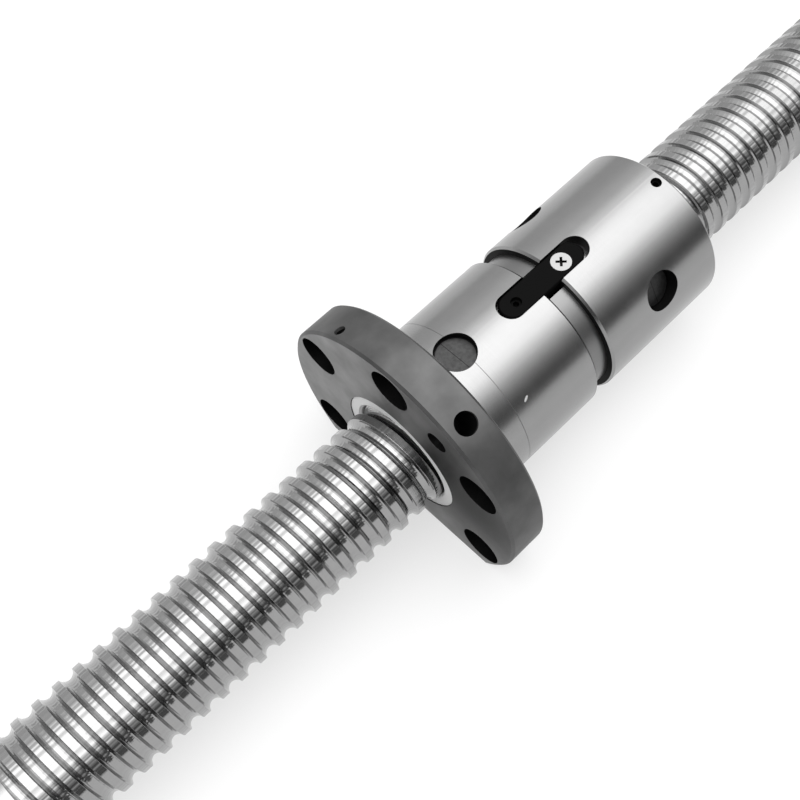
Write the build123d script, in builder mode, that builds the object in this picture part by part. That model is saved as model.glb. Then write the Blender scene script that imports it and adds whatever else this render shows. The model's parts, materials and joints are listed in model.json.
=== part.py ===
"""Preloaded double ball screw nut on its shaft, lengths in millimetres.

The screw's axis is X. The origin is on the axis, in the flange's seating face, with the
barrels on the +X side and the flange's flat down, at -Z. Angles round the axis are
measured from the top, +Z, towards +Y. The ball groove is right-handed.
"""

import os
from math import cos, radians, sin, sqrt

from build123d import *

os.makedirs("parts", exist_ok=True)

# Ball groove
lead = 5.0
ball_diameter = 3.175
groove_radius = 1.7
ball_circle_radius = 12.8
groove_phase = 1.0

# Shaft
shaft_diameter = 24.7
thread_front = -110.0
thread_turns = 51
journal_diameter = 20.0
journal_length = 12.0
journal_chamfer = 1.0

# Nut bodies
barrel_diameter = 40.0
front_nut_length = 31.5
spacer_width = 5.0
rear_nut_length = 35.0
bore_diameter = 29.2
barrel_chamfer = 0.5

# Flange
flange_diameter = 66.0
flange_thickness = 9.5
flange_chamfer = 0.6
flange_flat_clearance = 1.0
bolt_rim_distance = 6.0
bolt_hole_diameter = 5.8
bolt_head_diameter = 10.0
bolt_head_depth = 5.5
bolt_spacing = 60.0
bolt_count = 5

# Oil ports
port_diameter = 5.0
port_angle = -30.0
port_setback = 4.9
port_depth = 11.0
face_port_rim_distance = 7.8
oil_passage_diameter = 2.0

# Wipers and their set screws
wiper_seat_diameter = 31.0
wiper_seat_depth = 3.5
wiper_recess = 0.2
wiper_gap = 0.1
wiper_shaft_gap = 0.25
wiper_lip = 0.5
set_screw_diameter = 2.5
set_screw_length = 3.5
set_screw_socket = 1.3
set_screw_edge_distance = 2.4
set_screw_gap = 0.1
front_set_screw_angle = 30.0
rear_set_screw_angle = -6.0

# Ball returns
return_hole_diameter = 9.3
front_return_recess = 1.8
rear_return_recess = 3.0
return_floor_height = 13.3
return_gap = 0.05
return_channel_radius = 1.75
return_channel_height = 13.95
return_channel_swing = 3.9
front_return_angle = 0.0
rear_return_angle = 58.0
returns_per_nut = 3
ball_train_margin = 24.0
balls_per_train = 22

# Key and its screws
key_angle = -2.0
key_length = 23.8
key_width = 6.3
key_thickness = 2.4
key_chamfer = 0.3
key_centre = 33.8
key_slot_length = 26.2
key_slot_width = 6.5
key_slot_centre = 34.2
key_floor_height = 17.0
key_screw_setback = 5.8
key_plug_setback = 4.1
key_screw_head_diameter = 4.6
key_screw_diameter = 2.4
key_screw_gap = 0.05
key_screw_depth = 2.0
key_screw_head_angle = 90.0
cross_recess_width = 0.6
cross_recess_length = 2.4
cross_recess_depth = 0.9

# Spacer
spacer_diameter = 36.0
spacer_key_gap = 25.0
spacer_split_gap = 1.0

# Places that follow from the sizes above
shaft_radius = shaft_diameter / 2
thread_rear = thread_front + lead * thread_turns
barrel_radius = barrel_diameter / 2
flange_radius = flange_diameter / 2
bolt_circle = flange_diameter - 2 * bolt_rim_distance
face_port_radius = flange_radius - face_port_rim_distance
flange_flat_distance = barrel_radius + flange_flat_clearance
bore_radius = bore_diameter / 2
seat_radius = wiper_seat_diameter / 2
flange_face = -flange_thickness
rear_nut_start = front_nut_length + spacer_width
rear_nut_end = rear_nut_start + rear_nut_length
return_spacing = 360.0 / returns_per_nut
return_step = lead + lead / returns_per_nut
key_top_height = key_floor_height + key_thickness
key_screw_x = key_centre + key_length / 2 - key_screw_setback
key_plug_x = key_centre - key_length / 2 + key_plug_setback


def radial_plane(x, angle, height=0.0):
    """A plane square to a radius of the screw, with its own X along the screw."""
    turn = radians(angle)
    up = Vector(0, sin(turn), cos(turn))
    return Plane(origin=Vector(x, 0, 0) + up * height, x_dir=(1, 0, 0), z_dir=up)


def axial_plane(angle, x=0.0):
    """A plane through the screw's axis: X along the screw and Y outwards at the angle."""
    turn = radians(angle)
    up = Vector(0, sin(turn), cos(turn))
    return Plane(origin=(x, 0, 0), x_dir=(1, 0, 0), z_dir=Vector(1, 0, 0).cross(up))


def turned(points):
    """Revolves a closed outline of (place along the axis, radius) about the screw's axis."""
    with BuildSketch(Plane.XZ) as outline:
        with BuildLine():
            Polyline(*points, close=True)
        make_face()
    revolve(outline.sketch, axis=Axis.X)


def radial_hole(x, angle, diameter, outer, inner):
    """Drills along a radius of the screw, from the outer height to the inner one."""
    with BuildSketch(radial_plane(x, angle, inner)) as drill:
        Circle(diameter / 2)
    extrude(drill.sketch, amount=outer - inner, mode=Mode.SUBTRACT)


def key_slot():
    """Mills the key's round-ended slot, with a tapped hole under each key screw."""
    with BuildSketch(radial_plane(key_slot_centre, key_angle, key_floor_height)) as slot:
        SlotOverall(key_slot_length, key_slot_width)
    extrude(slot.sketch, amount=barrel_radius, mode=Mode.SUBTRACT)
    for x in (key_screw_x, key_plug_x):
        bottom = key_floor_height - key_screw_depth - key_screw_gap
        radial_hole(x, key_angle, key_screw_diameter + 2 * key_screw_gap, key_floor_height, bottom)


def groove_line(start, turns, radius):
    """The groove's helix at a radius, from a place along the screw where it is at the top."""
    return Helix(pitch=lead, height=lead * turns, radius=radius, center=(start, 0, 0), direction=(1, 0, 0))


def return_places(first, angle, step):
    """The places of one nut's ball returns, each a lead and a third further along."""
    return [(first + step * k, angle - return_spacing * k) for k in range(returns_per_nut)]


def next_land(angle, near):
    """The middle of the land, between two turns of the groove, nearest to a place."""
    land = groove_phase + lead / 2 - lead * angle / 360
    return land + lead * round((near - land) / lead)


returns_length = return_step * (returns_per_nut - 1)
front_first = next_land(front_return_angle, (front_nut_length - returns_length) / 2)
front_returns = return_places(front_first, front_return_angle, return_step)
rear_first = next_land(rear_return_angle, rear_nut_start + (rear_nut_length - returns_length) / 2)
rear_returns = return_places(rear_first, rear_return_angle, return_step)


# Screw shaft: one turn with its groove, repeated, and a plain journal at each end
groove_start = thread_front - lead + (groove_phase - thread_front) % lead
groove_edge = sqrt(groove_radius**2 - (ball_circle_radius - shaft_radius) ** 2)
with BuildPart() as thread_turn:
    with BuildSketch(Plane.YZ.offset(thread_front)):
        Circle(shaft_radius)
    extrude(amount=lead)
    with BuildSketch(axial_plane(0, groove_start)):
        with BuildLine():
            Polyline(
                (groove_edge, shaft_radius),
                (groove_edge, ball_circle_radius),
                (-groove_edge, ball_circle_radius),
                (-groove_edge, shaft_radius),
            )
            ThreePointArc(
                (-groove_edge, shaft_radius),
                (0, ball_circle_radius - groove_radius),
                (groove_edge, shaft_radius),
            )
        make_face()
    sweep(path=groove_line(groove_start, 3, shaft_radius), is_frenet=True, mode=Mode.SUBTRACT)
with BuildPart() as screw_shaft:
    add([thread_turn.part.moved(Location((lead * k, 0, 0))) for k in range(thread_turns)])
    for end, outward in ((thread_front, -1), (thread_rear, 1)):
        tip = end + outward * journal_length
        turned(
            [
                (end, 0),
                (end, journal_diameter / 2),
                (tip - outward * journal_chamfer, journal_diameter / 2),
                (tip, journal_diameter / 2 - journal_chamfer),
                (tip, 0),
            ]
        )
screw_shaft.part.label = "screw_shaft"

# Flanged front nut
with BuildPart() as flange_nut:
    turned(
        [
            (flange_face, seat_radius),
            (flange_face, flange_radius - flange_chamfer),
            (flange_face + flange_chamfer, flange_radius),
            (-flange_chamfer, flange_radius),
            (0, flange_radius - flange_chamfer),
            (0, barrel_radius),
            (front_nut_length - barrel_chamfer, barrel_radius),
            (front_nut_length, barrel_radius - barrel_chamfer),
            (front_nut_length, bore_radius),
            (flange_face + wiper_seat_depth, bore_radius),
            (flange_face + wiper_seat_depth, seat_radius),
        ]
    )
    with BuildSketch(Plane.YZ.offset(flange_face)):
        with Locations((0, -flange_flat_distance)):
            Rectangle(flange_diameter, flange_diameter, align=(Align.CENTER, Align.MAX))
    extrude(amount=flange_thickness, mode=Mode.SUBTRACT)
    face_plane = Plane(origin=(flange_face, 0, 0), x_dir=(0, 0, 1), z_dir=(-1, 0, 0))
    bolt_sweep = bolt_spacing * (bolt_count - 1)
    with Locations(face_plane):
        with PolarLocations(bolt_circle / 2, bolt_count, -bolt_sweep / 2, bolt_sweep, endpoint=True):
            CounterBoreHole(bolt_hole_diameter / 2, bolt_head_diameter / 2, bolt_head_depth)
        with PolarLocations(face_port_radius, 1, port_angle):
            Hole(port_diameter / 2, depth=flange_thickness - port_setback)
    radial_hole(-port_setback, port_angle, port_diameter, flange_radius, flange_radius - port_depth)
    radial_hole(-port_setback, port_angle, oil_passage_diameter, flange_radius, bore_radius / 2)
    set_screw_x = flange_face + set_screw_edge_distance
    radial_hole(set_screw_x, front_set_screw_angle, set_screw_diameter, flange_radius, bore_radius)
    for x, angle in front_returns:
        radial_hole(x, angle, return_hole_diameter, barrel_radius, bore_radius / 2)
    key_slot()
flange_nut.part.label = "flange_nut"

# Plain rear nut
with BuildPart() as rear_nut:
    turned(
        [
            (rear_nut_start, bore_radius),
            (rear_nut_start, barrel_radius - barrel_chamfer),
            (rear_nut_start + barrel_chamfer, barrel_radius),
            (rear_nut_end - barrel_chamfer, barrel_radius),
            (rear_nut_end, barrel_radius - barrel_chamfer),
            (rear_nut_end, seat_radius),
            (rear_nut_end - wiper_seat_depth, seat_radius),
            (rear_nut_end - wiper_seat_depth, bore_radius),
        ]
    )
    rear_screw_x = rear_nut_end - set_screw_edge_distance
    radial_hole(rear_screw_x, rear_set_screw_angle, set_screw_diameter, barrel_radius, bore_radius)
    for x, angle in rear_returns:
        radial_hole(x, angle, return_hole_diameter, barrel_radius, bore_radius / 2)
    key_slot()
rear_nut.part.label = "rear_nut"

# Spacer between the nuts, in two halves, open at the key
spacer_arc = 180 - (spacer_key_gap + spacer_split_gap) / 2
spacer_starts = {
    "spacer_half_left": key_angle + 180 - spacer_split_gap / 2,
    "spacer_half_right": key_angle - spacer_key_gap / 2,
}
spacer_halves = []
for name, start in spacer_starts.items():
    with BuildPart() as spacer_half:
        with BuildSketch(axial_plane(start)):
            with Locations((front_nut_length, bore_radius)):
                Rectangle(spacer_width, spacer_diameter / 2 - bore_radius, align=(Align.MIN, Align.MIN))
        revolve(axis=Axis.X, revolution_arc=spacer_arc)
    spacer_half.part.label = name
    spacer_halves.append(spacer_half)

# Key plate
with BuildPart() as lock_key:
    with BuildSketch(radial_plane(key_centre, key_angle, key_floor_height)):
        SlotOverall(key_length, key_width)
    extrude(amount=key_thickness)
    chamfer(lock_key.faces().sort_by(Axis.Z)[-1].edges(), key_chamfer)
    with Locations(radial_plane(key_screw_x, key_angle, key_top_height)):
        CounterSinkHole(
            key_screw_diameter / 2 + key_screw_gap,
            key_screw_head_diameter / 2 + key_screw_gap,
            counter_sink_angle=key_screw_head_angle,
        )
    with Locations(radial_plane(key_plug_x, key_angle, key_top_height)):
        Hole(key_screw_diameter / 2 + key_screw_gap)
lock_key.part.label = "lock_key"

# Countersunk key screw with a cross recess
head_height = (key_screw_head_diameter - key_screw_diameter) / 2
with BuildPart() as key_screw:
    with BuildSketch(axial_plane(key_angle, key_screw_x)):
        with BuildLine():
            Polyline(
                (0, key_floor_height - key_screw_depth),
                (key_screw_diameter / 2, key_floor_height - key_screw_depth),
                (key_screw_diameter / 2, key_top_height - head_height),
                (key_screw_head_diameter / 2, key_top_height),
                (0, key_top_height),
                close=True,
            )
        make_face()
    revolve(axis=Axis((key_screw_x, 0, 0), radial_plane(0, key_angle).z_dir))
    with BuildSketch(radial_plane(key_screw_x, key_angle, key_top_height)):
        Rectangle(cross_recess_length, cross_recess_width, rotation=45)
        Rectangle(cross_recess_length, cross_recess_width, rotation=-45)
    extrude(amount=-cross_recess_depth, mode=Mode.SUBTRACT)
key_screw.part.label = "key_screw"


def grub_screw(x, angle, tip, length, diameter):
    """A headless screw along a radius, with a hexagon socket in its outer end."""
    with BuildSketch(radial_plane(x, angle, tip)) as rod:
        Circle(diameter / 2)
    extrude(rod.sketch, amount=length)
    with BuildSketch(radial_plane(x, angle, tip + length)) as socket:
        RegularPolygon(set_screw_socket / 2, 6, major_radius=False)
    extrude(socket.sketch, amount=-length / 3, mode=Mode.SUBTRACT)


# Headless screw in the key's front hole, and the two that hold the wipers
with BuildPart() as key_front_screw:
    tip = key_floor_height - key_screw_depth
    grub_screw(key_plug_x, key_angle, tip, set_screw_length, key_screw_diameter)
key_front_screw.part.label = "key_front_screw"
wiper_radius = seat_radius - wiper_gap
grub_tip = seat_radius + set_screw_gap
grub_diameter = set_screw_diameter - 2 * key_screw_gap
with BuildPart() as front_wiper_screw:
    grub_screw(set_screw_x, front_set_screw_angle, grub_tip, set_screw_length, grub_diameter)
front_wiper_screw.part.label = "front_wiper_screw"
with BuildPart() as rear_wiper_screw:
    grub_screw(rear_screw_x, rear_set_screw_angle, grub_tip, set_screw_length, grub_diameter)
rear_wiper_screw.part.label = "rear_wiper_screw"


def wiper(outer_face, inward):
    """A plastic wiper ring, from its outer face inwards, with a bevelled lip at the shaft."""
    inner = shaft_radius + wiper_shaft_gap
    back = outer_face + inward * (wiper_seat_depth - wiper_recess - wiper_gap)
    turned(
        [
            (outer_face, wiper_radius),
            (back, wiper_radius),
            (back, inner),
            (outer_face + inward * wiper_lip, inner),
            (outer_face, inner + wiper_lip),
        ]
    )


# Wiper rings
with BuildPart() as front_wiper:
    wiper(flange_face + wiper_recess, 1)
front_wiper.part.label = "front_wiper"
with BuildPart() as rear_wiper:
    wiper(rear_nut_end - wiper_recess, -1)
rear_wiper.part.label = "rear_wiper"

# Ball returns: round plugs with a channel that leads the balls back by one turn
return_sets = (("front", front_returns, front_return_recess), ("rear", rear_returns, rear_return_recess))
ball_returns = []
for nut_name, places, recess in return_sets:
    for number, (x, angle) in enumerate(places, 1):
        with BuildPart() as ball_return:
            with BuildSketch(radial_plane(x, angle, return_floor_height)):
                Circle(return_hole_diameter / 2 - return_gap)
            extrude(amount=barrel_radius - recess - return_floor_height)
            across = radial_plane(x, angle, return_channel_height)
            way = across.y_dir * return_channel_swing + across.x_dir * (lead / 2)
            reach = return_hole_diameter
            channel_start = across.origin - way.normalized() * reach
            with BuildSketch(Plane(origin=channel_start, z_dir=way)):
                Circle(return_channel_radius)
            extrude(amount=2 * reach, mode=Mode.SUBTRACT)
        ball_return.part.label = f"ball_return_{nut_name}_{number}"
        ball_returns.append(ball_return)

# Ball trains, each in one turn of the groove, from its ball return round to the same one.
# A row of balls is a tube with straight legs, whose middles lie on the ball circle.
train_turn = 360 - 2 * ball_train_margin
train_legs = balls_per_train - 1
corner_radius = ball_circle_radius / cos(radians(train_turn / train_legs / 2))
ball_trains = []
for nut_name, places, recess in return_sets:
    for number, (x, angle) in enumerate(places, 1):
        train_start = x - lead * train_turn / 720
        train_line = groove_line(train_start, train_turn / 360, corner_radius)
        train_line = train_line.rotate(Axis.X, ball_train_margin - angle)
        corners = [train_line @ (k / train_legs) for k in range(balls_per_train)]
        with BuildPart() as ball_train:
            with BuildSketch(Plane(origin=corners[0], z_dir=corners[1] - corners[0])):
                Circle(ball_diameter / 2)
            sweep(path=Wire.make_polygon(corners, close=False), transition=Transition.RIGHT)
        ball_train.part.label = f"ball_train_{nut_name}_{number}"
        ball_trains.append(ball_train)

pieces = [screw_shaft, flange_nut, rear_nut, lock_key, key_screw, key_front_screw]
pieces += [front_wiper, rear_wiper, front_wiper_screw, rear_wiper_screw]
for piece in pieces + spacer_halves + ball_returns + ball_trains:
    export_step(piece.part, f"parts/{piece.part.label}.step")
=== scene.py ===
"""Looks for the double ball screw nut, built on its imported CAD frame. Lengths in metres.

X runs along the screw, from the flange to the plain rear nut, and +Z is up. Angles round
the screw are measured from the top, +Z, towards +Y.
"""

import json
from math import cos, pi, radians, sin, sqrt

import bmesh
import bpy
from mathutils import Matrix, Vector


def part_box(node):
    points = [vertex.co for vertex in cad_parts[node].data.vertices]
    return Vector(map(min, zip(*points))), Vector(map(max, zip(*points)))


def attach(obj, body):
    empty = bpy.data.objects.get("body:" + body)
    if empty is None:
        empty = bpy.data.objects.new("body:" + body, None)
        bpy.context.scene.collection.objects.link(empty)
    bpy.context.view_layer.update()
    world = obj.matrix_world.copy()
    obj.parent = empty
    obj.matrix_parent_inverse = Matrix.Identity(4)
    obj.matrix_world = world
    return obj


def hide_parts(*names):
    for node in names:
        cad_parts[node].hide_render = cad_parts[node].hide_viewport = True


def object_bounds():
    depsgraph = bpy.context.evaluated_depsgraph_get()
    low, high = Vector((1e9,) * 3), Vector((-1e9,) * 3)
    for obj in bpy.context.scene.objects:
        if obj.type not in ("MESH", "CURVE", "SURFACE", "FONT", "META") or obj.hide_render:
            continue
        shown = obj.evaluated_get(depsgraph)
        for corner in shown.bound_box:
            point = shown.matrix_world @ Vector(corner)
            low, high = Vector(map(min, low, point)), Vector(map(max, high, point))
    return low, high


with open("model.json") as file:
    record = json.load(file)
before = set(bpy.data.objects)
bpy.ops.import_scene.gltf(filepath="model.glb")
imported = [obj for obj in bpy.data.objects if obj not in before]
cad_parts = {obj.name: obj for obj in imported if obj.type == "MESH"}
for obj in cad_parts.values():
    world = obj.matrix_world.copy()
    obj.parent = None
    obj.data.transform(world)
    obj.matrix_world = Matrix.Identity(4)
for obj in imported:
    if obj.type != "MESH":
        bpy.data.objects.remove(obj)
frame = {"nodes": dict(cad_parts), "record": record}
cad_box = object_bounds()
nodes = frame["nodes"]

mm = 0.001

# Shaft and its ball groove, as in the CAD
lead = 5.0 * mm
ball_radius = 1.5875 * mm
ball_circle_radius = 12.8 * mm
groove_radius = 1.7 * mm
groove_phase = 1.0 * mm
shaft_radius = 12.35 * mm
journal_radius = 10.0 * mm
journal_length = 12.0 * mm
journal_chamfer = 1.0 * mm
shaft_front, shaft_rear = (corner.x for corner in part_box("screw_shaft"))
thread_front = shaft_front + journal_length
thread_rear = shaft_rear - journal_length
# Fine shape of the thread, which the CAD leaves plain
crest_rounding = 0.07 * mm
arch_offset = 0.12 * mm
arch_shares = (0.12, 0.35, 0.55, 0.75, 0.9)
# Points of a land's rounded edge, as shares of the rounding: past the groove's edge, and down
crest_points = ((-0.45, 0.7), (0.1, 0.2), (0.6, 0.0), (1.2, 0.0))
# Steps in each turn, and the turns made past the thread's two ends and cut off there
thread_steps = 72
spare_turns = 3
journal_segments = 96
crease_angle = radians(6)
merge_distance = 1e-7

# Ball circuits: the angle of each nut's first return, and how the others follow it
first_return_angles = {"front": 0.0, "rear": 58.0}
returns_per_nut = 3
return_spacing = 360.0 / returns_per_nut
return_step = lead + lead / returns_per_nut
train_margin = 24.0
train_turn = 360.0 - 2 * train_margin
balls_per_train = 22
ball_segments = 24
ball_rings = 16
plug_seam = 0.12 * mm
# Past this distance from a plug's middle, its top is painted dark as the shade in the gap round it
plug_shade_radius = 4.3 * mm

# Nut bodies: what the masks of their surfaces go by, the painted shade in the holes and gaps among them
flange_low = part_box("flange_nut")[0]
flange_front = flange_low.x
flange_flat = flange_low.z
flange_hole_reach = 32.3 * mm
barrel_hole_reach = 19.99 * mm
rear_nut_start, nut_end = (corner.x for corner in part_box("rear_nut"))
edge_margin = 0.05 * mm
side_facing = 0.3

# Key, and the marks on the front barrel
key_angle = -2.0
key_top_height = 19.4 * mm
line_place = 9.6 * mm
line_width = 0.16 * mm
# Scratch: its place and half size along X and Z, on the side towards -Y
scratch_place = (13.2 * mm, 12.8 * mm)
scratch_size = (0.45 * mm, 0.35 * mm)

# Flange skin: its grey on the rim, and the face's painted shade and reflection, from its darkest spot, at (y,
# z), outwards
rim_grey = 0.105
painted_shade_place = (-21 * mm, 6 * mm)
face_shading = (2 * mm, 32 * mm, 0.008, 0.21)

# Ground steel: noise scales, the depth of its marks, and how glossy the hole walls painted dark as shade are
ring_scale = 5000.0
band_scale = 9.0
wave_scale = 13.0
mottle_scale = 260.0
skin_scale = 150.0
plug_scale = 1400.0
mark_strength = 0.3
mark_depth = 0.02 * mm
hollow_shade_specular = 0.05

# Camera
camera_place = Vector((-75.07, -93.73, 228.54)) * mm
camera_right = Vector((0.712, -0.697, -0.082))
camera_up = Vector((0.642, 0.599, 0.479))
camera_lens = 53.52
sensor_width = 36.0
camera_range = (0.01, 50)

# Floor and lights
floor_height = cad_box[0].z - 0.3 * mm
floor_size = 6.0
floor_lift = 0.6
floor_grey = 0.26
softbox_place = (0.2, 0.04, 0.72)
softbox_aim = (0.2, 0.04, 0.0)
softbox_size = (0.8, 0.85)
softbox_power = 1.5
studio_peak = 4.0
studio_ends = (0.5, 0.85)
studio_end_level = 0.25
# Studio: the light that the steel reflects, by the angle from the top towards +Y
studio_levels = (
    (-179, 0.3),
    (-100, 0.22),
    (-90, 0.2),
    (-74, 0.1),
    (-61, 0.4),
    (-49, 0.9),
    (-36, 2.0),
    (-24, 3.1),
    (-11, 3.5),
    (6, 3.5),
    (14, 3.2),
    (26, 2.2),
    (39, 1.25),
    (51, 1.15),
    (64, 0.9),
    (88, 0.76),
    (100, 0.6),
    (179, 0.3),
)


def first_return(nut):
    """The place along X of a nut's first ball return, at the middle of its box."""
    low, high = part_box(f"ball_return_{nut}_1")
    return (low.x + high.x) / 2


def mesh_object(name, verts, faces):
    """A new mesh object at the origin."""
    mesh = bpy.data.meshes.new(name)
    mesh.from_pydata(verts, [], faces)
    mesh.update()
    obj = bpy.data.objects.new(name, mesh)
    bpy.context.scene.collection.objects.link(obj)
    return obj


def baked(obj, name):
    """The object's shape with its modifiers applied, as a plain mesh object."""
    depsgraph = bpy.context.evaluated_depsgraph_get()
    mesh = bpy.data.meshes.new_from_object(obj.evaluated_get(depsgraph))
    bpy.data.objects.remove(obj)
    mesh.name = name
    result = bpy.data.objects.new(name, mesh)
    bpy.context.scene.collection.objects.link(result)
    return result


def new_material(name):
    """An empty node material with a Principled shader."""
    material = bpy.data.materials.new(name)
    material.use_nodes = True
    return material, material.node_tree, material.node_tree.nodes["Principled BSDF"]


def link(tree, *pairs):
    """Links each output to each input."""
    for out, into in pairs:
        tree.links.new(out, into)


def feed(tree, socket, value):
    """Gives a socket its plain value, or links it to another."""
    if isinstance(value, (int, float)):
        socket.default_value = value
    else:
        tree.links.new(value, socket)


def new_node(tree, kind, settings=None, **inputs):
    """A shader node with its settings, and the inputs that get a plain value by their names."""
    node = tree.nodes.new("ShaderNode" + kind)
    for key, value in (settings or {}).items():
        setattr(node, key, value)
    for key, value in inputs.items():
        node.inputs[key.replace("_", " ")].default_value = value
    return node


def maths(tree, operation, first, second=None):
    """The output of a Math node on sockets or plain values."""
    node = tree.nodes.new("ShaderNodeMath")
    node.operation = operation
    for socket, value in zip(node.inputs, (first, second)):
        if value is not None:
            feed(tree, socket, value)
    return node.outputs[0]


def square(tree, value):
    """The value times itself."""
    return maths(tree, "MULTIPLY", value, value)


def either(tree, *masks):
    """1 where any of the masks is 1."""
    result = masks[0]
    for mask in masks[1:]:
        result = maths(tree, "MAXIMUM", result, mask)
    return result


def both(tree, *masks):
    """1 where all of the masks are 1."""
    result = masks[0]
    for mask in masks[1:]:
        result = maths(tree, "MULTIPLY", result, mask)
    return result


def chosen(tree, mask, low, high):
    """The first value, or the second where the mask is 1."""
    mix = tree.nodes.new("ShaderNodeMix")
    for number, value in ((0, mask), (2, low), (3, high)):
        feed(tree, mix.inputs[number], value)
    return mix.outputs[0]


def new_group(name, inputs, outputs):
    """A shader node group with named float sockets: its tree, what goes in and what comes out."""
    tree = bpy.data.node_groups.new(name, "ShaderNodeTree")
    for key, value in inputs.items():
        socket = tree.interface.new_socket(key, in_out="INPUT", socket_type="NodeSocketFloat")
        socket.default_value = value
    for key in outputs:
        tree.interface.new_socket(key, in_out="OUTPUT", socket_type="NodeSocketFloat")
    return tree, tree.nodes.new("NodeGroupInput").outputs, tree.nodes.new("NodeGroupOutput").inputs


def use_group(tree, group, **inputs):
    """A node that uses the group, with its inputs by their names."""
    node = tree.nodes.new("ShaderNodeGroup")
    node.node_tree = group
    for key, value in inputs.items():
        feed(tree, node.inputs[key.replace("_", " ")], value)
    return node


def map_range(tree, value, values):
    """The value brought smoothly from one range to another: (from low, from high, to low, to high)."""
    node = new_node(tree, "MapRange", {"interpolation_type": "SMOOTHSTEP"})
    for key, number in zip(("From Min", "From Max", "To Min", "To Max"), values):
        node.inputs[key].default_value = number
    tree.links.new(value, node.inputs["Value"])
    return node.outputs["Result"]


def thread_profile():
    """One lead of the shaft's outline, from the middle of a land to the next, as (x, radius).

    The groove is a pointed arch: two arcs that meet in a fine crease at its bottom.
    """
    rise = ball_circle_radius - shaft_radius
    half = sqrt(groove_radius**2 - rise**2)
    arc_radius = groove_radius + arch_offset
    side = [(0, ball_circle_radius - sqrt(arc_radius**2 - arch_offset**2))]
    for share in arch_shares:
        x = half * share
        side.append((x, ball_circle_radius - sqrt(arc_radius**2 - (x + arch_offset) ** 2)))
    for out, down in crest_points:
        side.append((half + out * crest_rounding, shaft_radius - down * crest_rounding))
    side.append((lead / 2, shaft_radius))
    return [(-x, radius) for x, radius in reversed(side[1:])] + side


def thread_mesh():
    """The threaded length: the outline screwed round the axis, cut square at both ends."""
    turns = int((thread_rear - thread_front) / lead) + spare_turns
    start = thread_front - spare_turns / 2 * lead
    start -= (start - groove_phase) % lead
    verts, faces = [], []
    profile = thread_profile()
    across = len(profile)
    rows = turns * thread_steps
    for row in range(rows + 1):
        turn = 2 * pi * row / thread_steps
        for x, radius in profile:
            place = start + x + lead * row / thread_steps
            verts.append((place, -radius * sin(turn), radius * cos(turn)))
    for row in range(rows):
        for k in range(across - 1):
            a = row * across + k
            faces.append((a, a + across, a + across + 1, a + 1))
    return mesh_object("shaft_thread", verts, faces)


def journal_rings():
    """The plain ends: (x, radius) from the thread's end outwards."""
    for end, outward in ((thread_front, -1), (thread_rear, 1)):
        tip = end + outward * journal_length
        yield [
            (end - outward * lead, journal_radius),
            (tip - outward * journal_chamfer, journal_radius),
            (tip, journal_radius - journal_chamfer),
        ]


def shaft():
    """The whole shaft, in one mesh."""
    obj = thread_mesh()
    work = bmesh.new()
    work.from_mesh(obj.data)
    bmesh.ops.remove_doubles(work, verts=work.verts, dist=merge_distance)
    for end, outward in ((thread_front, -1), (thread_rear, 1)):
        geometry = work.verts[:] + work.edges[:] + work.faces[:]
        cut = bmesh.ops.bisect_plane(
            work,
            geom=geometry,
            plane_co=(end, 0, 0),
            plane_no=(outward, 0, 0),
            clear_outer=True,
            dist=merge_distance,
        )
        rim = [e for e in cut["geom_cut"] if isinstance(e, bmesh.types.BMEdge)]
        bmesh.ops.contextual_create(work, geom=rim)
    angles = [2 * pi * k / journal_segments for k in range(journal_segments)]
    for rings in journal_rings():
        loops = []
        for x, radius in rings:
            loops.append([work.verts.new((x, radius * sin(a), radius * cos(a))) for a in angles])
        for first, second in zip(loops, loops[1:]):
            for k in range(journal_segments):
                after = (k + 1) % journal_segments
                work.faces.new((first[k], first[after], second[after], second[k]))
        work.faces.new(loops[0])
        work.faces.new(loops[-1])
    bmesh.ops.recalc_face_normals(work, faces=work.faces)
    for face in work.faces:
        face.smooth = len(face.verts) == 4
    for edge in work.edges:
        if edge.is_manifold and edge.calc_face_angle(0) > crease_angle:
            edge.smooth = False
    work.to_mesh(obj.data)
    work.free()
    return obj


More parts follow.
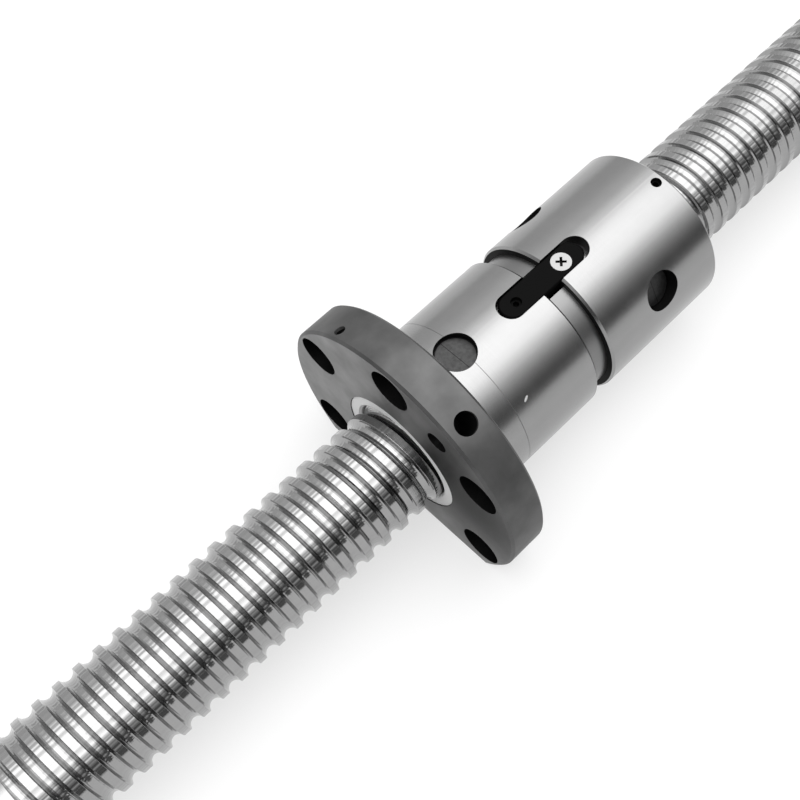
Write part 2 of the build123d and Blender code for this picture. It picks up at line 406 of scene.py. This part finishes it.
def ball_row_tree():
    """A node group that sets a row of balls along a right-hand helix round X, from its named inputs."""
    tree = bpy.data.node_groups.new("Ball row", "GeometryNodeTree")
    sockets = {}
    wanted = [("Start", "Float"), ("Angle", "Float"), ("Sweep", "Float"), ("Lead", "Float")]
    wanted += [("Circle Radius", "Float"), ("Ball Radius", "Float"), ("Count", "Int"), ("Finish", "Material")]
    for name, kind in wanted:
        sockets[name] = tree.interface.new_socket(name, in_out="INPUT", socket_type="NodeSocket" + kind)
    tree.interface.new_socket("Balls", in_out="OUTPUT", socket_type="NodeSocketGeometry")
    given = tree.nodes.new("NodeGroupInput").outputs
    index = tree.nodes.new("GeometryNodeInputIndex").outputs[0]
    last = maths(tree, "SUBTRACT", given["Count"], 1.0)
    turned = maths(tree, "MULTIPLY", maths(tree, "DIVIDE", index, last), given["Sweep"])
    angle = maths(tree, "SUBTRACT", given["Angle"], turned)
    along = maths(tree, "MULTIPLY", maths(tree, "DIVIDE", turned, 2 * pi), given["Lead"])
    place = tree.nodes.new("ShaderNodeCombineXYZ")
    points = tree.nodes.new("GeometryNodePoints")
    ball = tree.nodes.new("GeometryNodeMeshUVSphere")
    ball.inputs["Segments"].default_value = ball_segments
    ball.inputs["Rings"].default_value = ball_rings
    copies = tree.nodes.new("GeometryNodeInstanceOnPoints")
    real = tree.nodes.new("GeometryNodeRealizeInstances")
    soft = tree.nodes.new("GeometryNodeSetShadeSmooth")
    finish = tree.nodes.new("GeometryNodeSetMaterial")
    result = tree.nodes.new("NodeGroupOutput")
    link(
        tree,
        (maths(tree, "ADD", given["Start"], along), place.inputs["X"]),
        (maths(tree, "MULTIPLY", given["Circle Radius"], maths(tree, "SINE", angle)), place.inputs["Y"]),
        (maths(tree, "MULTIPLY", given["Circle Radius"], maths(tree, "COSINE", angle)), place.inputs["Z"]),
        (given["Count"], points.inputs["Count"]),
        (place.outputs[0], points.inputs["Position"]),
        (given["Ball Radius"], ball.inputs["Radius"]),
        (points.outputs[0], copies.inputs["Points"]),
        (ball.outputs["Mesh"], copies.inputs["Instance"]),
        (copies.outputs[0], real.inputs[0]),
        (real.outputs[0], soft.inputs[0]),
        (soft.outputs[0], finish.inputs["Geometry"]),
        (given["Finish"], finish.inputs["Material"]),
        (finish.outputs[0], result.inputs[0]),
    )
    return tree, {name: socket.identifier for name, socket in sockets.items()}


def ball_row(name, tree, identifiers, **values):
    """One train of balls, made by the node group and kept as a plain mesh."""
    carrier = mesh_object(name + "_carrier", [], [])
    modifier = carrier.modifiers.new("Balls", "NODES")
    modifier.node_group = tree
    for key, value in values.items():
        modifier[identifiers[key.replace("_", " ")]] = value
    return baked(carrier, name)


def ground_finish():
    """A node group: steel ground in fine rings round the screw, with bands along it and a mottle."""
    wanted = {"Grey": 0.3, "Roughness": 0.3, "Ring Scale": ring_scale, "Ring Tint": 0.05, "Band Tint": 0.05}
    wanted.update({"Mottle": 0.04, "Chatter": 0.0})
    tree, given, result = new_group("Ground finish", wanted, ("Grey", "Roughness", "Height"))
    place = tree.nodes.new("ShaderNodeTexCoord")
    split = tree.nodes.new("ShaderNodeSeparateXYZ")
    facing = tree.nodes.new("ShaderNodeSeparateXYZ")
    across = tree.nodes.new("ShaderNodeCombineXYZ")
    outward = new_node(tree, "VectorMath", {"operation": "NORMALIZE"})
    rings = new_node(tree, "TexNoise", {"noise_dimensions": "1D"}, Detail=4.0)
    bands = new_node(tree, "TexNoise", Scale=band_scale, Detail=5.0, Roughness=0.6)
    waves = new_node(tree, "TexNoise", Scale=wave_scale, Detail=0.5)
    spots = new_node(tree, "TexNoise", Scale=mottle_scale, Detail=4.0)
    link(
        tree,
        (place.outputs["Object"], split.inputs[0]),
        (split.outputs["X"], rings.inputs["W"]),
        (given["Ring Scale"], rings.inputs["Scale"]),
        (split.outputs["Y"], across.inputs["Y"]),
        (split.outputs["Z"], across.inputs["Z"]),
        (across.outputs[0], outward.inputs[0]),
        (outward.outputs[0], bands.inputs["Vector"]),
        (outward.outputs[0], waves.inputs["Vector"]),
        (place.outputs["Object"], spots.inputs["Vector"]),
        (place.outputs["Normal"], facing.inputs[0]),
    )
    round_share = maths(tree, "SUBTRACT", 1.0, maths(tree, "ABSOLUTE", facing.outputs["X"]))
    chatter = maths(tree, "MULTIPLY", waves.outputs["Fac"], given["Chatter"])
    chatter = maths(tree, "MULTIPLY", chatter, round_share)
    tree.links.new(maths(tree, "ADD", chatter, rings.outputs["Fac"]), result["Height"])
    shade = 1.0
    for noise, share in ((rings, "Ring Tint"), (bands, "Band Tint"), (spots, "Mottle")):
        swing = maths(tree, "SUBTRACT", maths(tree, "MULTIPLY", noise.outputs["Fac"], 2.0), 1.0)
        shade = maths(tree, "ADD", maths(tree, "MULTIPLY", swing, given[share]), shade)
    soft = maths(tree, "MULTIPLY", maths(tree, "SUBTRACT", spots.outputs["Fac"], 0.5), given["Mottle"])
    link(
        tree,
        (maths(tree, "MULTIPLY", shade, given["Grey"]), result["Grey"]),
        (maths(tree, "ADD", soft, given["Roughness"]), result["Roughness"]),
    )
    return tree


def uneven_grey():
    """A node group: a grey that a mottle makes lighter and darker."""
    wanted = {"Grey": 0.1, "Scale": skin_scale, "Detail": 3.0}
    tree, given, result = new_group("Uneven grey", wanted, ("Grey",))
    place = tree.nodes.new("ShaderNodeTexCoord")
    spots = new_node(tree, "TexNoise")
    shade = maths(tree, "MULTIPLY", maths(tree, "ADD", spots.outputs["Fac"], 0.5), given["Grey"])
    link(
        tree,
        (place.outputs["Object"], spots.inputs["Vector"]),
        (given["Scale"], spots.inputs["Scale"]),
        (given["Detail"], spots.inputs["Detail"]),
        (shade, result["Grey"]),
    )
    return tree


class Spot:
    """Where a shaded point is on its piece: along the screw, out from its axis, and which way it faces."""

    def __init__(self, tree, place):
        here = tree.nodes.new("ShaderNodeSeparateXYZ")
        facing = tree.nodes.new("ShaderNodeSeparateXYZ")
        link(tree, (place.outputs["Object"], here.inputs[0]), (place.outputs["Normal"], facing.inputs[0]))
        self.x, self.y, self.z = here.outputs
        self.radius = maths(tree, "SQRT", maths(tree, "ADD", square(tree, self.y), square(tree, self.z)))
        across = maths(tree, "MULTIPLY", self.y, facing.outputs["Y"])
        up = maths(tree, "MULTIPLY", self.z, facing.outputs["Z"])
        self.outward = maths(tree, "DIVIDE", maths(tree, "ADD", across, up), self.radius)


def steel(name, grey, roughness, mottle=0.05, chatter=0.0, zones=()):
    """Ground steel. Each zone is (mask, grey, roughness) for a surface that isn't ground.

    A zone's grey may be a number, or a function that gives it where the spot is.
    """
    material, tree, shader = new_material(name)
    shader.inputs["Metallic"].default_value = 1.0
    finish = use_group(tree, finishes, Grey=grey, Roughness=roughness, Band_Tint=0.06, Mottle=mottle)
    bump = new_node(tree, "Bump", Strength=mark_strength, Distance=mark_depth)
    link(
        tree,
        (finish.outputs["Height"], bump.inputs["Height"]),
        (bump.outputs["Normal"], shader.inputs["Normal"]),
    )
    shade, sheen = finish.outputs["Grey"], finish.outputs["Roughness"]
    spot = Spot(tree, tree.nodes.new("ShaderNodeTexCoord"))
    if chatter:
        on_thread = both(
            tree,
            maths(tree, "GREATER_THAN", spot.x, thread_front),
            maths(tree, "LESS_THAN", spot.x, thread_rear),
        )
        tree.links.new(maths(tree, "MULTIPLY", on_thread, chatter), finish.inputs["Chatter"])
    for mask, tone, softness in zones:
        where = mask(tree, spot)
        tone = tone if isinstance(tone, float) else tone(tree, spot)
        uneven = use_group(tree, mottles, Grey=tone, Scale=skin_scale, Detail=3.0)
        shade = chosen(tree, where, shade, uneven.outputs["Grey"])
        sheen = chosen(tree, where, sheen, softness)
    if zones:
        # The holes and gaps painted dark as shade are not metal and barely glossy
        metal = maths(tree, "SUBTRACT", 1.0, painted_hollow_shade(tree, spot))
        tree.links.new(metal, shader.inputs["Metallic"])
        shader.inputs["Specular IOR Level"].default_value = hollow_shade_specular
    link(tree, (shade, shader.inputs["Base Color"]), (sheen, shader.inputs["Roughness"]))
    return material


def flange_skin(tree, spot):
    """1 on the flange's front face and rim, which keep their dull grey skin."""
    return maths(tree, "LESS_THAN", spot.x, -edge_margin)


def skin_grey_and_painted_shade(tree, spot):
    """The flange skin's grey: even on the rim, and on the face a painted shade and reflection, darkest round
    painted_shade_place and lighter outwards.
    """
    across = square(tree, maths(tree, "SUBTRACT", spot.y, painted_shade_place[0]))
    up = square(tree, maths(tree, "SUBTRACT", spot.z, painted_shade_place[1]))
    tone = map_range(tree, maths(tree, "SQRT", maths(tree, "ADD", across, up)), face_shading)
    on_face = maths(tree, "LESS_THAN", spot.outward, side_facing)
    return chosen(tree, on_face, rim_grey, tone)


def painted_hollow_shade(tree, spot):
    """1 inside the flange's holes and the barrels' cross holes, and on the faces beside the spacer, which are
    painted dark as their shade.
    """
    in_flange = both(
        tree,
        maths(tree, "LESS_THAN", spot.radius, flange_hole_reach),
        maths(tree, "GREATER_THAN", spot.z, flange_flat + edge_margin),
        maths(tree, "GREATER_THAN", spot.x, flange_front + edge_margin),
        maths(tree, "LESS_THAN", spot.x, -edge_margin),
    )
    behind = both(
        tree,
        maths(tree, "LESS_THAN", spot.outward, side_facing),
        maths(tree, "GREATER_THAN", spot.x, edge_margin),
        maths(tree, "LESS_THAN", spot.x, nut_end - edge_margin),
        maths(tree, "LESS_THAN", spot.radius, barrel_hole_reach),
    )
    return either(tree, in_flange, behind)


def scribed_line(tree, spot):
    """1 on the fine line round the front barrel, beside its first ball return."""
    beside = maths(tree, "ABSOLUTE", maths(tree, "SUBTRACT", spot.x, line_place))
    return maths(tree, "LESS_THAN", beside, line_width / 2)


def scratch(tree, spot):
    """1 on the short bright scratch low on the front barrel."""
    along = maths(tree, "DIVIDE", maths(tree, "SUBTRACT", spot.x, scratch_place[0]), scratch_size[0])
    up = maths(tree, "DIVIDE", maths(tree, "SUBTRACT", spot.z, scratch_place[1]), scratch_size[1])
    near = maths(tree, "ADD", square(tree, maths(tree, "SUBTRACT", along, up)), square(tree, up))
    return both(tree, maths(tree, "LESS_THAN", near, 1.0), maths(tree, "LESS_THAN", spot.y, 0.0))


def plain(name, colour, roughness, metallic=0.0, specular=0.5):
    """A material of one grey."""
    material, tree, shader = new_material(name)
    shader.inputs["Base Color"].default_value = (colour, colour, colour, 1)
    shader.inputs["Roughness"].default_value = roughness
    shader.inputs["Metallic"].default_value = metallic
    shader.inputs["Specular IOR Level"].default_value = specular
    return material


def recessed_screw(name, grey, dark):
    """Bright screw steel whose cross recess, below the head's top, is painted dark as the shade in it."""
    material = plain(name, grey, 0.35, 1.0)
    tree = material.node_tree
    place = tree.nodes.new("ShaderNodeTexCoord")
    split = tree.nodes.new("ShaderNodeSeparateXYZ")
    tree.links.new(place.outputs["Object"], split.inputs[0])
    turn = radians(key_angle)
    height = maths(
        tree,
        "ADD",
        maths(tree, "MULTIPLY", split.outputs["Y"], sin(turn)),
        maths(tree, "MULTIPLY", split.outputs["Z"], cos(turn)),
    )
    # Below the head's top the recess is painted dark as its shade
    sunk = maths(tree, "LESS_THAN", height, key_top_height - edge_margin)
    tree.links.new(chosen(tree, sunk, grey, dark), tree.nodes["Principled BSDF"].inputs["Base Color"])
    return material


def plug_steel(name, grey, dark):
    """Dull mottled steel for the ball returns, with a dark seam across each plug's top and a rim painted dark
    as the shade in the gap round it.
    """
    material = plain(name, grey, 0.5, 1.0)
    tree = material.node_tree
    spot = Spot(tree, tree.nodes.new("ShaderNodeTexCoord"))
    on_rear = maths(tree, "GREATER_THAN", spot.x, rear_nut_start)
    first_x = chosen(tree, on_rear, first_return("front"), first_return("rear"))
    first_angle = chosen(tree, on_rear, first_return_angles["front"], first_return_angles["rear"])
    angle = maths(tree, "DEGREES", maths(tree, "ARCTAN2", spot.y, spot.z))
    turned = maths(tree, "SUBTRACT", first_angle, angle)
    turns = maths(tree, "ADD", maths(tree, "DIVIDE", turned, return_spacing), 0.5)
    turns = maths(tree, "FLOORED_MODULO", turns, float(returns_per_nut))
    number = maths(tree, "FLOOR", turns)
    swing = maths(tree, "SUBTRACT", maths(tree, "SUBTRACT", turns, number), 0.5)
    swing = maths(tree, "MULTIPLY", swing, radians(return_spacing))
    across = maths(tree, "MULTIPLY", spot.radius, maths(tree, "SINE", swing))
    centre = maths(tree, "ADD", first_x, maths(tree, "MULTIPLY", number, return_step))
    along = maths(tree, "SUBTRACT", spot.x, centre)
    out = maths(tree, "SQRT", maths(tree, "ADD", square(tree, along), square(tree, across)))
    seam = maths(tree, "LESS_THAN", maths(tree, "ABSOLUTE", along), plug_seam / 2)
    # The plug's rim, painted dark as shade in the gap round it
    rim = maths(tree, "GREATER_THAN", out, plug_shade_radius)
    uneven = use_group(tree, mottles, Grey=grey, Scale=plug_scale, Detail=4.0)
    shade = chosen(tree, either(tree, seam, rim), uneven.outputs["Grey"], dark)
    tree.links.new(shade, tree.nodes["Principled BSDF"].inputs["Base Color"])
    return material


finishes = ground_finish()
mottles = uneven_grey()
nut_zones = (
    (scribed_line, 0.16, 0.4),
    (scratch, 0.9, 0.5),
    # Flange skin: the rim's own grey, and on the face a painted shade and reflection
    (flange_skin, skin_grey_and_painted_shade, 0.52),
    # Hole walls and the faces beside the spacer, painted black as shade
    (painted_hollow_shade, 0.004, 0.4),
)
looks = {
    "ground_steel": steel("Ground shaft steel", 0.32, 0.15, mottle=0.03, chatter=30.0),
    "nut_steel": steel("Ground nut steel", 0.28, 0.24, zones=nut_zones),
    "spacer_steel": steel("Spacer steel", 0.2, 0.35),
    "return_steel": plug_steel("Sintered return steel", 0.06, 0.012),
    "ball_steel": plain("Polished ball steel", 0.7, 0.08, 1.0),
    "bright_screw": recessed_screw("Bright screw steel", 0.33, 0.01),
    "black_oxide": plain("Black oxide steel", 0.002, 0.4, specular=0.03),
    "wiper_plastic": plain("White wiper plastic", 0.75, 0.4),
}
slots = {row["node"]: row["material_slot"] for row in frame["record"]["subparts"]}


def paint(obj, material):
    """The object's only material."""
    obj.data.materials.clear()
    obj.data.materials.append(material)


steel_shaft = shaft()
steel_shaft.name = "screw_shaft_fine"
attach(steel_shaft, "shaft")
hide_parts("screw_shaft")
paint(steel_shaft, looks["ground_steel"])
ball_tree, ball_inputs = ball_row_tree()
for nut, angle in first_return_angles.items():
    for number in range(returns_per_nut):
        place = first_return(nut) + number * return_step - lead * train_turn / 720
        turn = angle - number * return_spacing - train_margin
        balls = ball_row(
            f"balls_{nut}_{number + 1}",
            ball_tree,
            ball_inputs,
            Start=place,
            Angle=radians(turn),
            Sweep=radians(train_turn),
            Lead=lead,
            Circle_Radius=ball_circle_radius,
            Ball_Radius=ball_radius,
            Count=balls_per_train,
            Finish=looks["ball_steel"],
        )
        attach(balls, "nut")
        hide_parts(f"ball_train_{nut}_{number + 1}")
for name, node in nodes.items():
    paint(node, looks[slots[name]])


def look_from(place, right, up):
    """The camera's turn and place, from its own right and up directions."""
    right = right.normalized()
    back = right.cross(up).normalized()
    up = back.cross(right)
    turn = Matrix((right, up, back)).transposed().to_4x4()
    return Matrix.Translation(place) @ turn


camera_data = bpy.data.cameras.new("Camera")
camera_data.lens = camera_lens
camera_data.sensor_width = sensor_width
camera_data.clip_start, camera_data.clip_end = camera_range
camera = bpy.data.objects.new("Camera", camera_data)
camera.matrix_world = look_from(camera_place, camera_right, camera_up)
bpy.context.scene.collection.objects.link(camera)
bpy.context.scene.camera = camera


def area_light(name, place, aim, size, energy):
    """A soft rectangular light that faces its aim."""
    data = bpy.data.lights.new(name, "AREA")
    data.shape = "RECTANGLE"
    data.size, data.size_y = size
    data.energy = energy
    light = bpy.data.objects.new(name, data)
    light.location = place
    light.rotation_euler = (Vector(aim) - Vector(place)).to_track_quat("-Z", "Y").to_euler()
    bpy.context.scene.collection.objects.link(light)
    return light


softbox = area_light("Overhead softbox", softbox_place, softbox_aim, softbox_size, softbox_power)
softbox.visible_glossy = False


def seen_directly(tree):
    """1 where a ray from the camera, a mirror or glass arrives, and 0 for scattered light."""
    path = tree.nodes.new("ShaderNodeLightPath")
    glossy = maths(tree, "MAXIMUM", path.outputs["Is Glossy Ray"], path.outputs["Is Transmission Ray"])
    return maths(tree, "MAXIMUM", path.outputs["Is Camera Ray"], glossy)


def pale_floor():
    """A white floor: seen directly it is lifted to white and keeps the part's shadow."""
    material, tree, shader = new_material("Pale floor")
    shader.inputs["Base Color"].default_value = (floor_grey, floor_grey, floor_grey, 1)
    shader.inputs["Roughness"].default_value = 1.0
    shader.inputs["Specular IOR Level"].default_value = 0.0
    lift = new_node(tree, "Emission", Strength=floor_lift)
    total = tree.nodes.new("ShaderNodeAddShader")
    choice = tree.nodes.new("ShaderNodeMixShader")
    link(
        tree,
        (shader.outputs[0], total.inputs[0]),
        (lift.outputs[0], total.inputs[1]),
        (seen_directly(tree), choice.inputs[0]),
        (shader.outputs[0], choice.inputs[1]),
        (total.outputs[0], choice.inputs[2]),
        (choice.outputs[0], tree.nodes["Material Output"].inputs["Surface"]),
    )
    return material


def studio_world():
    """The studio round the part, by its levels, darker towards both ends of X; the camera sees white."""
    world = bpy.data.worlds.new("Studio")
    world.use_nodes = True
    tree = world.node_tree
    place = tree.nodes.new("ShaderNodeTexCoord")
    split = tree.nodes.new("ShaderNodeSeparateXYZ")
    tree.links.new(place.outputs["Generated"], split.inputs[0])
    angle = maths(tree, "ARCTAN2", split.outputs["Y"], split.outputs["Z"])
    share = maths(tree, "ADD", maths(tree, "DIVIDE", angle, 2 * pi), 0.5)
    ramp = tree.nodes.new("ShaderNodeValToRGB")
    tree.links.new(share, ramp.inputs[0])
    stops = ramp.color_ramp.elements
    for degrees, level in studio_levels:
        stop = stops.new(degrees / 360 + 0.5)
        stop.color = (level / studio_peak, level / studio_peak, level / studio_peak, 1)
    stops.remove(stops[0])
    stops.remove(stops[-1])
    path = tree.nodes.new("ShaderNodeLightPath")
    along = maths(tree, "ABSOLUTE", split.outputs["X"])
    ends = map_range(tree, along, (*studio_ends, 1.0, studio_end_level))
    light = maths(tree, "MULTIPLY", maths(tree, "MULTIPLY", ramp.outputs[0], studio_peak), ends)
    sky = tree.nodes["Background"]
    sky.inputs["Color"].default_value = (1, 1, 1, 1)
    tree.links.new(chosen(tree, path.outputs["Is Camera Ray"], light, 1.0), sky.inputs["Strength"])
    return world


floor = mesh_object(
    "floor",
    [(x * floor_size / 2, y * floor_size / 2, floor_height) for x, y in ((-1, -1), (1, -1), (1, 1), (-1, 1))],
    [(0, 1, 2, 3)],
)
paint(floor, pale_floor())
bpy.context.scene.world = studio_world()

bpy.context.scene.view_settings.view_transform = "Standard"
